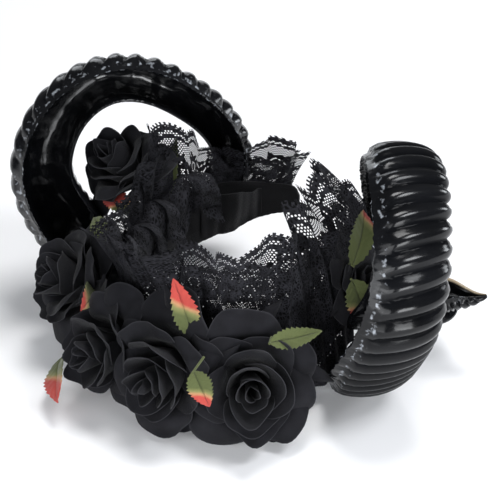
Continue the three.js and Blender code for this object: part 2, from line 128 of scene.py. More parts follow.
def band_height(turn):
    """The band's height at a turn, which falls off smoothly toward the free ends."""
    share = np.clip((np.abs(turn) - BAND_TAPER_TURN) / (HOOP_END_TURN - BAND_TAPER_TURN), 0, 1)
    share = share * share * (3 - 2 * share)
    return BAND_HEIGHT + (BAND_END_HEIGHT - BAND_HEIGHT) * share


def grid_piece(name, across, along, place, closed=False, marks=None):
    """A grid primitive whose points are laid by place(u, v), u and v from 0 to 1, in millimetres.
    closed joins its two long sides into a tube and closes the tube's ends, and marks names numbers
    that a material reads at each point, as functions of u and v."""
    bpy.ops.object.select_all(action="DESELECT")
    bpy.ops.mesh.primitive_grid_add(x_subdivisions=across, y_subdivisions=along, size=2)
    piece = bpy.context.object
    piece.name = name
    mesh = piece.data
    flat = np.empty(len(mesh.vertices) * 3)
    mesh.vertices.foreach_get("co", flat)
    flat = flat.reshape(-1, 3)
    u, v = (flat[:, 0] + 1) / 2, (flat[:, 1] + 1) / 2
    mesh.vertices.foreach_set("co", (np.asarray(place(u, v)) / 1000).ravel())
    mesh.update()
    for mark, level in (marks or {}).items():
        layer = mesh.attributes.new(mark, "FLOAT", "POINT")
        layer.data.foreach_set("value", level(u, v).astype(np.float32))
    if closed:
        bpy.ops.object.mode_set(mode="EDIT")
        bpy.ops.mesh.select_all(action="SELECT")
        bpy.ops.mesh.remove_doubles(threshold=1e-6)
        bpy.ops.mesh.select_all(action="DESELECT")
        bpy.ops.mesh.select_non_manifold()
        bpy.ops.mesh.edge_face_add()
        bpy.ops.mesh.select_all(action="SELECT")
        bpy.ops.mesh.normals_make_consistent(inside=False)
        bpy.ops.object.mode_set(mode="OBJECT")
    return piece


def only(piece):
    bpy.ops.object.select_all(action="DESELECT")
    piece.select_set(True)
    bpy.context.view_layer.objects.active = piece


def modified(piece, kind, **settings):
    only(piece)
    modifier = piece.modifiers.new(kind.lower(), kind)
    for key, value in settings.items():
        setattr(modifier, key, value)
    bpy.ops.object.modifier_apply(modifier=modifier.name)
    return piece


def smooth(piece, degrees=50):
    only(piece)
    bpy.ops.object.shade_smooth_by_angle(angle=math.radians(degrees))
    return piece


def joined(pieces, name):
    bpy.ops.object.select_all(action="DESELECT")
    for piece in pieces:
        piece.select_set(True)
    bpy.context.view_layer.objects.active = pieces[0]
    if len(pieces) > 1:
        bpy.ops.object.join()
    pieces[0].name = name
    return pieces[0]


class Finish:
    """A material in the making: its nodes, and a shorthand to add and link them."""

    def __init__(self, name, roughness, **sockets):
        self.material = bpy.data.materials.new(name)
        self.material.use_nodes = True
        self.tree = self.material.node_tree
        self.shader = self.tree.nodes["Principled BSDF"]
        self.shader.inputs["Roughness"].default_value = roughness
        for key, value in sockets.items():
            self.shader.inputs[key.replace("_", " ")].default_value = value

    def add(self, kind, links=None, **settings):
        node = self.tree.nodes.new(kind)
        for key, value in settings.items():
            if key in node.inputs:
                node.inputs[key].default_value = value
            else:
                setattr(node, key, value)
        for socket, source in (links or {}).items():
            self.tree.links.new(source, node.inputs[socket])
        return node

    def link(self, source, socket):
        self.tree.links.new(source, self.shader.inputs[socket])

    def ramp(self, source, stops):
        node = self.add("ShaderNodeValToRGB", {"Fac": source})
        elements = node.color_ramp.elements
        while len(elements) < len(stops):
            elements.new(0.5)
        for element, (place, colour) in zip(elements, stops):
            element.position = place
            element.color = (*colour, 1)
        return node.outputs["Color"]

    def weave(self, chart, scale, crossed):
        """Warp and weft threads over the piece's own UV map."""
        warp = self.add("ShaderNodeTexWave", {"Vector": chart}, Scale=scale, bands_direction="X")
        weft = self.add("ShaderNodeTexWave", {"Vector": chart}, Scale=scale, bands_direction="Y")
        threads = {0: warp.outputs["Fac"], 1: weft.outputs["Fac"]}
        return self.add("ShaderNodeMath", threads, operation=crossed).outputs[0]

    def bump(self, source, distance, strength=1.0, normal=None):
        links = {"Height": source}
        if normal is not None:
            links["Normal"] = normal
        node = self.add("ShaderNodeBump", links, Distance=distance, Strength=strength)
        return node.outputs["Normal"]


def cloth_finish(name, dark, light, thread, roughness=0.92, sheen=0.06, wear=0.0008):
    """Matte woven cloth: crossed threads over the piece's own UV map, and a slow change of shade."""
    finish = Finish(name, roughness, Sheen_Weight=sheen, Sheen_Roughness=0.5, Specular_IOR_Level=0.15)
    place = finish.add("ShaderNodeTexCoord")
    woven = finish.weave(place.outputs["UV"], thread, "MULTIPLY")
    slow = finish.add("ShaderNodeTexNoise", {"Vector": place.outputs["Object"]}, Scale=55, Detail=4)
    finish.link(finish.ramp(slow.outputs["Fac"], [(0.3, dark), (0.72, light)]), "Base Color")
    normal = finish.bump(woven, 0.00015, 0.6)
    normal = finish.bump(slow.outputs["Fac"], wear, 0.5, normal)
    finish.link(normal, "Normal")
    return finish.material


def band_wall(u, v):
    turn = (2 * v - 1) * CLOTH_END_TURN
    point, outward, along = hoop_place(turn)
    around = 2 * np.pi * u
    past = np.clip((np.abs(turn) - CLOTH_END_TURN + CLOTH_ROUND_TURN) / CLOTH_ROUND_TURN, 0, 1)
    half = (band_height(turn) / 2 + 0.6) * (0.25 + 0.75 * np.sqrt(1 - past ** 2))
    rounded = np.sign(np.sin(around)) * np.abs(np.sin(around)) ** 0.45
    bulge = np.sign(np.cos(around)) * np.abs(np.cos(around)) ** 0.45
    pucker = 0.22 * np.sin(turn * 2.3) + 0.15 * np.sin(turn * 5.1 + 1)
    crease = -0.8 * np.exp(-((turn - CREASE_TURN) / 1.6) ** 2)
    crease = crease + 0.5 * np.exp(-((turn - CREASE_RIDGE_TURN) / 2.5) ** 2)
    thick = BAND_WALL / 2 + 0.35 + 0.5 * (pucker * np.abs(rounded) ** 3 + crease * (bulge < 0))
    high = half + 0.5 * pucker
    return point + outward * (BAND_WALL / 2 + bulge * thick)[:, None] + UP * (rounded * high)[:, None]


hoop_cloth = cloth_finish("hoop_cloth", (0.0035, 0.0035, 0.004), (0.0075, 0.0075, 0.0085), 260)
hoop = grid_piece("headband_cloth", 32, 220, band_wall, closed=True)
smooth(hoop, 60)
hoop.data.materials.append(hoop_cloth)
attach(hoop, "root")
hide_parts("headband")

# Fold: a loose loop of the same cloth on the inner face of one leg, gathered at both sides,
# arching off the band so that it leaves a dark mouth under it.
FOLD_TURN = -127.0
FOLD_SPAN_TURN = 32.0
FOLD_LIFT = 12.0


def fold_wall(u, v):
    side = 2 * u - 1
    turn = FOLD_TURN + side * FOLD_SPAN_TURN / 2
    point, outward, along = hoop_place(turn)
    arch = FOLD_LIFT * np.cos(np.pi * side / 2) ** 2 * (0.3 + 0.7 * v)
    gather = (1.1 * np.sin(side * 9 + 1) + 0.5 * np.sin(side * 19 + 2)) * (0.4 + 0.6 * np.abs(side))
    twist = 1.6 * np.sin(np.pi * v) * np.sin(2 * side + 3 * v)
    off = 1.6 + arch + gather + twist * (1 - side * side)
    up = (v - 0.5) * band_height(turn) * (0.92 - 0.18 * side * side) + 1.5 * np.cos(5 * side) * v
    return point - outward * off[:, None] + UP * up[:, None]


fold = grid_piece("band_fold_cloth", 60, 24, fold_wall)
modified(fold, "SOLIDIFY", thickness=0.0009, offset=0)
smooth(fold, 60)
# Coloured lighter than the band's cloth though it is the same cloth: painted light on the raised loop.
fold_cloth_painted_light = cloth_finish("fold_cloth_painted_light", (0.005, 0.005, 0.0056), (0.012, 0.012, 0.0135), 90)
fold.data.materials.append(fold_cloth_painted_light)
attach(fold, "root")
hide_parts("band_fold")

# Horns: two curled half shells formed from thin glossy black plastic, deeply ribbed outside and
# smooth inside, with a rough trimmed rim. Each opens toward the wearer's head.
HORN_CENTRE = np.array([93.0, 27.0, 67.0]) + ROW_SHIFT
HORN_OPEN_SIDE = np.array([-0.63, -0.73, 0.26])
HORN_RADIUS = 90.0
HORN_LIFT = 67.0
HORN_WIDTH = 48.0
HORN_DEPTH = 46.0
HORN_SHELL = 1.9
HORN_TURN = 440.0
HORN_BASE_ANGLE = 262.0
RIB_HEIGHT = 4.6
RIB_COUNT = 50
RIB_SLANT = 1.8
RIB_SWEEP = 0.5
FLANGE = 0.055
ROLL_END = 0.05
# Round the section: where the outer wall, the first rim bead and the inner wall end
OUTSIDE_TO = 0.6
BEAD_TO = 0.66
INSIDE_TO = 0.94
RIGHT_HORN_SAG = 0.05
RIGHT_HORN_TWIST = math.radians(-20)
TWIST_TURN = 185.0
TWIST_SPAN_TURN = 50.0
TWIST_SHIFT = 0.4706
REST_LIFT = 3.7
REST_REACH = 50.0
HORN_TOP = 173.0
OUTER_OVERHANG = math.radians(36)
INNER_OVERHANG = math.radians(14)
# Columns: turn from the base, reach, lift, width, depth, as shares of the sizes above
HORN_STATIONS = [
    (0, 0.86, 0.34, 0.90, 0.96),
    (52, 0.82, 0.60, 0.85, 1.22),
    (102, 1.00, 0.64, 0.75, 1.08),
    (152, 1.03, 0.66, 0.58, 1.00),
    (202, 0.82, 0.36, 0.54, 0.86),
    (252, 0.72, -0.04, 0.50, 0.72),
    (312, 0.54, -0.50, 0.43, 0.56),
    (360, 0.28, -0.50, 0.45, 0.50),
    (400, 0.16, -0.68, 0.42, 0.42),
    (440, 0.17, -1.00, 0.05, 0.05),
]


def table_curve(rows, column, turns):
    """A smooth curve through one column of a table whose first column is the turn."""
    knots = np.array([row[0] for row in rows], float)
    values = np.array([row[column] for row in rows], float)
    last = len(knots) - 1
    i = np.clip(np.searchsorted(knots, turns, side="right") - 1, 0, last - 1)
    before, after = np.maximum(i - 1, 0), np.minimum(i + 2, last)
    step = knots[i + 1] - knots[i]
    t = np.clip((turns - knots[i]) / step, 0, 1)
    slope_a = (values[i + 1] - values[before]) / (knots[i + 1] - knots[before]) * step
    slope_b = (values[after] - values[i]) / (knots[after] - knots[i]) * step
    t2, t3 = t * t, t * t * t
    return ((2 * t3 - 3 * t2 + 1) * values[i] + (t3 - 2 * t2 + t) * slope_a
            + (3 * t2 - 2 * t3) * values[i + 1] + (t3 - t2) * slope_b)


facing = HORN_OPEN_SIDE / np.linalg.norm(HORN_OPEN_SIDE)
across_horn = np.cross([0, 0, -1], facing)
across_horn /= np.linalg.norm(across_horn)
up_horn = np.cross(across_horn, facing)


def horn_rim(turn):
    """The line that the outer rim of the curl follows, in millimetres."""
    angle = np.radians(HORN_BASE_ANGLE - turn)
    reach = HORN_RADIUS * table_curve(HORN_STATIONS, 1, turn)
    lift = HORN_LIFT * table_curve(HORN_STATIONS, 2, turn)
    return (HORN_CENTRE + (reach * np.cos(angle))[:, None] * across_horn
            + (reach * np.sin(angle))[:, None] * up_horn + lift[:, None] * facing)


def ripple(points, size, seed):
    """Uneven heights from crossed sines, so that a moulded surface isn't perfectly even."""
    rng = np.random.default_rng(seed)
    total = np.zeros(len(points))
    for _ in range(7):
        way = rng.normal(size=3)
        way /= np.linalg.norm(way)
        wave = size * rng.uniform(0.6, 1.6)
        total += np.sin(points @ way * 2 * np.pi / wave + rng.uniform(0, 6.28))
    return total / 7


def rib_roll(turn, share):
    """How far each rib stands out, from 0 in a groove to 1 on a crest, and how much of a rib there
    is: none on the flange along the rim or on the flank toward the middle of the curl."""
    slant = RIB_SLANT * share + RIB_SWEEP * (1 - np.exp(-share / 0.1))
    phase = (RIB_COUNT * turn / HORN_TURN - slant) % 1
    roll = np.sin(np.pi * phase) ** 0.6 - 0.16 * np.exp(-((phase - 0.72) / 0.06) ** 2)
    ends = np.clip(np.minimum(share - FLANGE, 1 - 0.5 * FLANGE - share) / ROLL_END, 0, 1)
    return roll, np.sqrt(1 - (1 - ends) ** 2) * np.clip((0.92 - share) / 0.26, 0, 1)


def horn_wall(u, v, twist):
    """The horn's shell. u runs round its section: the outer wall, one rim bead, the inner wall and
    the other bead. v runs from the base to the tip, and twist turns the section at the curl's front."""
    turn = v * HORN_TURN
    ahead, behind = np.minimum(turn + 0.5, HORN_TURN), np.maximum(turn - 0.5, 0)
    tangent = horn_rim(ahead) - horn_rim(behind)
    tangent /= np.linalg.norm(tangent, axis=1, keepdims=True)
    angle = np.radians(HORN_BASE_ANGLE - turn)
    radial = np.cos(angle)[:, None] * across_horn + np.sin(angle)[:, None] * up_horn
    radial -= tangent * (radial * tangent).sum(1, keepdims=True)
    radial /= np.linalg.norm(radial, axis=1, keepdims=True)
    back = np.cross(tangent, radial)
    half_width = HORN_WIDTH * table_curve(HORN_STATIONS, 3, turn) / 2
    depth = HORN_DEPTH * table_curve(HORN_STATIONS, 4, turn)
    half_depth = depth / (1 + math.sin(OUTER_OVERHANG))
    shell = np.minimum(HORN_SHELL, half_width * 0.5)

    outside = u < OUTSIDE_TO
    bead_b = (u >= OUTSIDE_TO) & (u < BEAD_TO)
    inside = (u >= BEAD_TO) & (u < INSIDE_TO)
    bead_a = u >= INSIDE_TO
    inner_share = 1 - (u - BEAD_TO) / (INSIDE_TO - BEAD_TO)
    share = np.where(outside, u / OUTSIDE_TO, np.where(inside, inner_share, 0.0))
    share = np.where(bead_b, 1.0, share)
    at = -OUTER_OVERHANG + share * (math.pi + OUTER_OVERHANG + INNER_OVERHANG)
    size = np.minimum(1, table_curve(HORN_STATIONS, 3, turn) * 1.7)

    roll, ribbed = rib_roll(turn, share)
    swell = RIB_HEIGHT * size * roll * ribbed
    inset = np.where(outside, -swell, shell)

    bead = np.where(bead_b, (u - OUTSIDE_TO) / (BEAD_TO - OUTSIDE_TO), 0)
    bead = np.where(bead_a, (u - INSIDE_TO) / (1 - INSIDE_TO), bead)
    bead_inset = np.where(bead_a, shell * (1 - bead), shell * bead)
    inset = np.where(bead_a | bead_b, bead_inset, inset)
    across = (half_width - inset) * np.cos(at) - half_width * math.cos(OUTER_OVERHANG)
    inward = (half_depth - inset) * np.sin(at) + half_depth * math.sin(OUTER_OVERHANG)

    near_rim = np.where(bead_a | bead_b, 1.0, np.exp(-np.minimum(share, 1 - share) / 0.03))
    rim_points = np.stack([turn * 1.6, 8 * np.cos(2 * np.pi * u), 8 * np.sin(2 * np.pi * u)], axis=1)
    ragged = (ripple(rim_points, 6.0, 11) + 0.9 * ripple(rim_points, 2.4, 12)) * near_rim * size
    ragged = ragged * np.where(share < 0.5, 1.0, 0.25)
    lip = np.where(bead_a | bead_b, np.sin(np.pi * bead), 0) * 1.3 * size
    inward = inward - lip + ragged * 0.9
    across = across + ragged * 0.7 * np.where(share < 0.5, 1, -1)
    bend = twist * np.exp(-((turn - TWIST_TURN) / TWIST_SPAN_TURN) ** 2)
    across = across - TWIST_SHIFT * half_width * np.abs(np.sin(bend))
    twisted_across = across * np.cos(bend) - inward * np.sin(bend)
    twisted_inward = across * np.sin(bend) + inward * np.cos(bend)
    placed = horn_rim(turn) + twisted_across[:, None] * radial + twisted_inward[:, None] * back
    uneven = ripple(placed, 26.0, 5) * 0.35 * size
    return placed + back * (uneven * (1 - near_rim))[:, None]


plastic = Finish("horn_plastic", 0.2, Coat_Weight=0.04, Coat_Roughness=0.06)
place = plastic.add("ShaderNodeTexCoord")
grain = plastic.add("ShaderNodeTexNoise", {"Vector": place.outputs["Object"]}, Scale=420, Detail=5)
cloud = plastic.add("ShaderNodeTexNoise", {"Vector": place.outputs["Object"]}, Scale=30, Detail=3)
rim_mark = plastic.add("ShaderNodeAttribute", attribute_name="rim")
shade = plastic.ramp(cloud.outputs["Fac"], [
    (0.3, (0.0025, 0.0027, 0.0032)),
    (0.75, (0.0055, 0.0058, 0.007)),
])
# Pale bluish-grey flecks along both rims: painted glints of light on the rough rim.
rim_glint_noise = plastic.add("ShaderNodeTexNoise", {"Vector": place.outputs["Object"]}, Scale=260, Detail=3)
rim_glint_mask = plastic.add("ShaderNodeMath", {0: rim_glint_noise.outputs["Fac"], 1: rim_mark.outputs["Fac"]},
                        operation="MULTIPLY")
rim_glint_level = plastic.add("ShaderNodeMapRange", {"Value": rim_glint_mask.outputs[0]})
rim_glint_level.inputs["From Min"].default_value = 0.5
rim_glint_level.inputs["From Max"].default_value = 0.66
glinted_tone = plastic.add("ShaderNodeMix", {"Factor": rim_glint_level.outputs[0]}, data_type="RGBA")
plastic.tree.links.new(shade, glinted_tone.inputs[6])
glinted_tone.inputs[7].default_value = (0.30, 0.32, 0.35, 1)
trim_mark = plastic.add("ShaderNodeAttribute", attribute_name="trim")
trimmed = plastic.add("ShaderNodeMix", {"Factor": trim_mark.outputs["Fac"]}, data_type="RGBA")
plastic.tree.links.new(glinted_tone.outputs[2], trimmed.inputs[6])
trimmed.inputs[7].default_value = (0.36, 0.29, 0.20, 1)
plastic.link(trimmed.outputs[2], "Base Color")
# The specular level drops in the grooves between ribs: painted shade in the grooves.
groove_mark = plastic.add("ShaderNodeAttribute", attribute_name="groove")
shine = plastic.add("ShaderNodeMapRange", {"Value": groove_mark.outputs["Fac"]})
shine.inputs["From Max"].default_value = 0.55
shine.inputs["To Min"].default_value = 0.26
shine.inputs["To Max"].default_value = 0.02
# The specular level is raised in the hollow: painted highlight, brighter reflections inside the curl.
hollow_mark = plastic.add("ShaderNodeAttribute", attribute_name="hollow")
hollow_shine = plastic.add("ShaderNodeMath", {0: hollow_mark.outputs["Fac"], 2: shine.outputs[0]},
                           operation="MULTIPLY_ADD")
hollow_shine.inputs[1].default_value = 0.14
plastic.link(hollow_shine.outputs[0], "Specular IOR Level")
gloss = plastic.add("ShaderNodeMapRange", {"Value": grain.outputs["Fac"]})
gloss.inputs["To Min"].default_value = 0.1
gloss.inputs["To Max"].default_value = 0.26
plastic.link(gloss.outputs[0], "Roughness")
wavy = plastic.add("ShaderNodeTexNoise", {"Vector": place.outputs["Object"]}, Scale=75, Detail=2)
orange_peel = plastic.bump(wavy.outputs["Fac"], 0.0004, 0.4)
swells = plastic.add("ShaderNodeTexNoise", {"Vector": place.outputs["Object"]}, Scale=34, Detail=1.5)
drawn = plastic.add("ShaderNodeMath", {0: swells.outputs["Fac"], 1: hollow_mark.outputs["Fac"]},
                    operation="MULTIPLY")
formed = plastic.bump(drawn.outputs[0], 0.011, 1.0, orange_peel)
plastic.link(plastic.bump(grain.outputs["Fac"], 0.00006, 0.35, formed), "Normal")


def groove_level(u, v):
    """How deep in a groove between two ribs a point of the outer wall lies, from 0 to 1."""
    roll, ribbed = rib_roll(v * HORN_TURN, u / OUTSIDE_TO)
    return np.where(u < OUTSIDE_TO, (1 - roll) * ribbed, 0)


def rim_level(u, v):
    """1 along the two rims, falling off quickly beside them."""
    return np.exp(-((np.minimum(np.abs(u - 0.97), np.abs(u - 0.03)) / 0.035) ** 2))


def horn_piece(name, node, side, sag, twist):
    """A whole horn. side is 1 at +X and -1 at -X, and sag is the share of its height that it sinks."""
    def placed(u, v):
        points = horn_wall(u, v, twist) * np.array([side, 1, 1])
        points[:, 2] *= 1 - sag * points[:, 2] / HORN_TOP
        points[:, 2] += REST_LIFT * np.clip(1 - points[:, 2] / REST_REACH, 0, None) ** 1.5
        return points

    piece = grid_piece(name, 44, 600, placed, closed=True, marks={
        "rim": rim_level,
        "trim": lambda u, v: ((u > OUTSIDE_TO) & (u < 0.67) & (v > 0.9)).astype(float),
        "groove": groove_level,
        "hollow": lambda u, v: np.clip((0.15 - np.abs(u - 0.80)) / 0.05, 0, 1),
    })
    smooth(piece, 75)
    piece.data.materials.append(plastic.material)
    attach(piece, "root")
    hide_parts(node)


horn_piece("horn_right_shell", "horn_right", 1, RIGHT_HORN_SAG, RIGHT_HORN_TWIST)
horn_piece("horn_left_shell", "horn_left", -1, 0, 0)

# Roses: black fabric roses, each of stiffened cloth petals with thin pale cut edges, glued in
# whorls round a rolled centre, with sepals and a taped wire stem behind that is fixed to the band.
ROSE_RADIUS = 40.0
ROSE_DEPTH = 1.15
# Columns: name, turn on the hoop, out from it, up from its middle, size, the way it faces, spin
ROSES = [
    ("rose_a", -84, 1.04, 1.60, 0.82, (-0.35, -0.45, 0.8), 10),
    ("rose_b", -45, 1.50, 0.48, 0.96, (-0.5, -0.72, 0.5), 35),
    ("rose_c", -13, 1.48, 0.02, 0.95, (-0.3, -0.94, 0.12), 60),
    ("rose_d", 9, 1.62, 0.08, 1.04, (0.02, -0.99, 0.08), 15),
    ("rose_e", 37, 1.73, 0.18, 1.05, (0.6, -0.74, 0.3), 54),
    ("rose_f", 92, 0.75, 0.67, 0.62, (0.85, 0.15, 0.45), 0),
]
# Columns: petals, spread, level of the tip from the flower's front, half span in degrees, curl,
# wave; all lengths as shares of the rose's radius
WHORLS = [
    (5, 0.95, -0.52, 47, 0.30, 0.085),
    (5, 0.78, -0.26, 50, 0.25, 0.075),
    (4, 0.60, -0.11, 64, 0.17, 0.055),
    (3, 0.42, -0.03, 82, 0.09, 0.030),
    (3, 0.24, -0.02, 96, 0.04, 0.015),
    (2, 0.11, -0.06, 130, 0.01, 0.010),
]
PETAL_CLOTH_MM = 0.5
FLOOR_CLEAR_MM = 0.6


def petal_wall(u, v, radius, whorl, middle, rng):
    """One petal in the flower's own axes, its front centre at the origin and its axis along +Z."""
    petals, spread, tip, span, curl, wave = whorl
    spread = spread * rng.uniform(0.86, 1.06)
    tip = tip + rng.uniform(-0.12, 0.07) * min(1, spread * 1.5)
    middle = middle + math.radians(rng.uniform(-14, 14))
    side = 2 * u - 1
    peak = rng.uniform(-0.25, 0.25)
    point_out = rng.uniform(0.02, 0.12) * np.exp(-((side - peak) / 0.25) ** 2)
    reach = v * (1 - 0.28 * np.abs(side) ** 2.3 + point_out)
    reach = reach * (1 + 0.03 * np.sin(side * rng.uniform(6, 10) + peak * 20))
    fan = 0.40 + 0.60 * np.sin(np.minimum(reach / 0.7, 1) * math.pi / 2)
    angle = middle + np.radians(span * rng.uniform(0.92, 1.08)) * side * fan
    out = 0.05 + (spread - 0.05) * np.abs(reach) ** 0.72
    out = out + 0.055 * spread * side * reach
    rim = np.clip((reach - 0.70) / 0.30, 0, 1)
    corner = np.clip((np.abs(side) - 0.40) / 0.60, 0, 1) * np.clip((reach - 0.35) / 0.5, 0, 1)
    rolled = curl * rim ** 1.6 * rng.uniform(0.5, 1.7)
    turned = curl * corner ** 1.6 * rng.uniform(0.5, 1.5)
    turned = turned * np.where(side > 0, rng.uniform(0.4, 1.2), rng.uniform(0.4, 1.2))
    phase = rng.uniform(0, 6.28)
    waves = wave * np.sin(side * rng.uniform(3.0, 5.5) + phase) * reach ** 2
    waves = waves + 0.35 * wave * np.sin(side * rng.uniform(8, 12) + 2 * phase) * rim
    up = -ROSE_DEPTH + (ROSE_DEPTH + tip) * np.abs(reach) ** 1.25
    up = up - rolled * 1.2 - turned * 0.9 + waves + 0.06 * spread * side * side * reach
    out = out + rolled * 0.5 + turned * 0.35 + 0.4 * waves
    vein = 0.012 * np.sin(side * 19 + phase) * reach * spread
    crease_at, crease_slope = rng.uniform(-0.6, 0.6), rng.uniform(-0.7, 0.7)
    crease = np.exp(-((side - crease_at - crease_slope * (reach - 0.6)) / 0.12) ** 2) * reach
    up = up - 0.045 * spread * crease
    out = (out + vein) * radius
    return np.stack([out * np.cos(angle), out * np.sin(angle), up * radius], axis=-1)


def marked(piece, name, values):
    """Writes one number for each point of the piece, for its material to read."""
    layer = piece.data.attributes.new(name, "FLOAT", "POINT")
    layer.data.foreach_set("value", values)
    return piece


def petal_piece(radius, whorl, middle, seed, to_row):
    """One cloth petal with its thickness. Its edge mark rises to 1 at the cut edge."""
    across, along = 11, 10
    rng = np.random.default_rng(seed)

    def placed(u, v):
        return to_row(petal_wall(u, v, radius, whorl, middle, rng))

    piece = grid_piece("petal", across, along, placed)
    count = len(piece.data.vertices)
    rows = np.arange(count) // (across + 1)
    columns = np.arange(count) % (across + 1)
    near = np.maximum(rows / along, np.abs(2 * columns / across - 1) * np.minimum(rows / along * 3, 1))
    marked(piece, "edge", near.astype(np.float32))
    modified(piece, "SUBSURF", levels=1, render_levels=1)
    modified(piece, "SOLIDIFY", thickness=PETAL_CLOTH_MM / 1000, offset=0)
    return piece


def turned_to(way):
    """The rotation, as a matrix, that turns +Z to a way."""
    quaternion = Vector((0, 0, 1)).rotation_difference(Vector(way).normalized())
    return np.array(quaternion.to_matrix())


rose_cloth = Finish("rose_cloth", 0.85, Sheen_Weight=0.05, Sheen_Roughness=0.45, Specular_IOR_Level=0.16)
place = rose_cloth.add("ShaderNodeTexCoord")
woven = rose_cloth.weave(place.outputs["UV"], 34, "ADD")
mottle = rose_cloth.add("ShaderNodeTexNoise", {"Vector": place.outputs["Object"]}, Scale=70, Detail=5)
dyed = rose_cloth.ramp(mottle.outputs["Fac"], [
    (0.3, (0.0048, 0.0048, 0.0062)),
    (0.75, (0.0115, 0.0115, 0.0145)),
])
edge_mark = rose_cloth.add("ShaderNodeAttribute", attribute_name="edge")
edge_level = rose_cloth.add("ShaderNodeMapRange", {"Value": edge_mark.outputs["Fac"]})
edge_level.inputs["From Min"].default_value = 0.98
edge_level.inputs["From Max"].default_value = 1.02
cut_edge = rose_cloth.add("ShaderNodeMix", {"Factor": edge_level.outputs[0]}, data_type="RGBA")
rose_cloth.tree.links.new(dyed, cut_edge.inputs[6])
cut_edge.inputs[7].default_value = (0.035, 0.035, 0.04, 1)
rose_cloth.link(cut_edge.outputs[2], "Base Color")
soft_bump = rose_cloth.bump(mottle.outputs["Fac"], 0.0008, 0.4)
rose_cloth.link(rose_cloth.bump(woven, 0.00012, 0.4, soft_bump), "Normal")


def rose_piece(row, seed):
    """A whole rose: its whorls of petals, five sepals and the stem down to the band."""
    name, turn, out, up, size, way, spin = row
    radius = ROSE_RADIUS * size
    point, outward, _ = hoop_place(np.array([float(turn)]))
    centre = point[0] + outward[0] * out * ROSE_RADIUS + UP * up * ROSE_RADIUS
    axes = turned_to(way)

    def to_row(local):
        placed = local @ axes.T + centre
        placed[:, 2] = np.maximum(placed[:, 2], FLOOR_CLEAR_MM)
        return placed

    petals = []
    for w, whorl in enumerate(WHORLS):
        for k in range(whorl[0]):
            middle = math.radians(spin + 360 / whorl[0] * k + 37 * w)
            petals.append(petal_piece(radius, whorl, middle, seed * 100 + w * 10 + k, to_row))

    def sepal(u, v, middle):
        side = 2 * u - 1
        wide = 0.10 * np.sin(np.pi * np.clip(v * 0.86 + 0.14, 0, 1)) ** 0.8
        angle = middle + side * wide / np.maximum(0.12 + 0.5 * v, 0.1) + 0.35 * v * v * math.sin(5 * middle)
        ring = (0.10 + 1.14 * v) * radius
        height = (-ROSE_DEPTH * 1.02 + 0.42 * v - 0.3 * v ** 4 - 0.05 * side * side) * radius
        return to_row(np.stack([ring * np.cos(angle), ring * np.sin(angle), height], axis=-1))

    for k in range(5):
        leaf = grid_piece("sepal", 4, 8, lambda u, v: sepal(u, v, math.radians(72 * k + spin)))
        marked(leaf, "edge", np.zeros(len(leaf.data.vertices), np.float32))
        modified(leaf, "SOLIDIFY", thickness=0.0006, offset=0)
        petals.append(leaf)

    heel = centre - axes[:, 2] * radius * ROSE_DEPTH
    foot = point[0] + outward[0] * (BAND_WALL + 0.5)
    foot[2] = np.clip(heel[2], point[0][2] - BAND_HEIGHT / 3, point[0][2] + BAND_HEIGHT / 3)

    def stem(u, v):
        line = foot + (heel - foot) * v[:, None]
        line = line + UP * (-2.0 * np.sin(np.pi * v))[:, None]
        way_along = (heel - foot) / np.linalg.norm(heel - foot)
        a = np.cross(way_along, [0.3, 0.2, 0.93])
        a /= np.linalg.norm(a)
        b = np.cross(way_along, a)
        thick = 2.2 + 3.0 * np.clip((v - 0.72) / 0.28, 0, 1) ** 1.5 + 0.25 * np.sin(v * 60 + u * 6.28)
        around = 2 * np.pi * u
        return line + (thick * np.cos(around))[:, None] * a + (thick * np.sin(around))[:, None] * b

    shaft = grid_piece("stem", 14, 30, stem, closed=True)
    marked(shaft, "edge", np.zeros(len(shaft.data.vertices), np.float32))
    petals.append(shaft)
    rose = joined(petals, f"{name}_cloth")
    smooth(rose, 60)
    rose.data.materials.append(rose_cloth.material)
    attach(rose, "root")
    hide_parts(name)
    return rose


roses = [rose_piece(row, 3 + i) for i, row in enumerate(ROSES)]

# Leaves: stamped cloth rose leaves with toothed edges and pressed veins, printed olive green that
# turns orange and red toward the tip, tucked between the roses.
LEAF_LENGTH = 50.0
LEAF_WIDTH = 26.0
STALK_RADIUS_MM = 0.8
STALK_OVERLAP_MM = 1.5
# Columns: name, base and tip (each a turn round the hoop, out and up), width, bow, share that is
# red, the way it faces
LEAVES = [
    ("leaf_1", (-43, 0.42, 0.10), (-20, 0.86, 0.44), 0.66, 0.19, 0.30, (0.5, -0.7, 0.5)),
    ("leaf_2", (20, 0.60, 0.54), (12, 0.45, 1.22), 0.62, 0.15, 0.62, (0.5, -0.6, 0.6)),
    ("leaf_3", (-30, 1.00, -0.52), (-12, 1.48, -0.48), 0.74, 0.12, 0.62, (0.3, -0.9, 0.3)),
    ("leaf_4", (23, 1.25, 0.46), (27, 1.45, 0.10), 0.60, 0.12, 0.48, (0.5, -0.7, 0.5)),
    ("leaf_5", (-48, 0.28, 0.72), (-62, 0.56, 0.74), 0.46, 0.15, 0.0, (0.5, -0.7, 0.5)),
    ("leaf_6", (-74, 0.15, 0.64), (-80, 0.78, 0.62), 0.56, 0.15, 0.85, (0.4, -0.6, 0.7)),
    ("leaf_7", (86, 0.28, 0.74), (104, 0.08, 1.14), 0.62, 0.30, 0.30, (0.7, -0.6, 0.4)),
    ("leaf_8", (79, 0.48, 0.74), (83, 0.60, 0.14), 0.78, 0.15, 0.50, (0.7, -0.6, 0.4)),
    ("leaf_9", (43, 0.92, 0.60), (57, 1.05, 0.68), 0.50, -0.25, 0.0, (0.4, -0.7, 0.6)),
    ("leaf_10", (-96, 0.13, 0.44), (-104, 0.20, 1.23), 0.36, 0.12, 0.0, (0.4, -0.7, 0.5)),
]


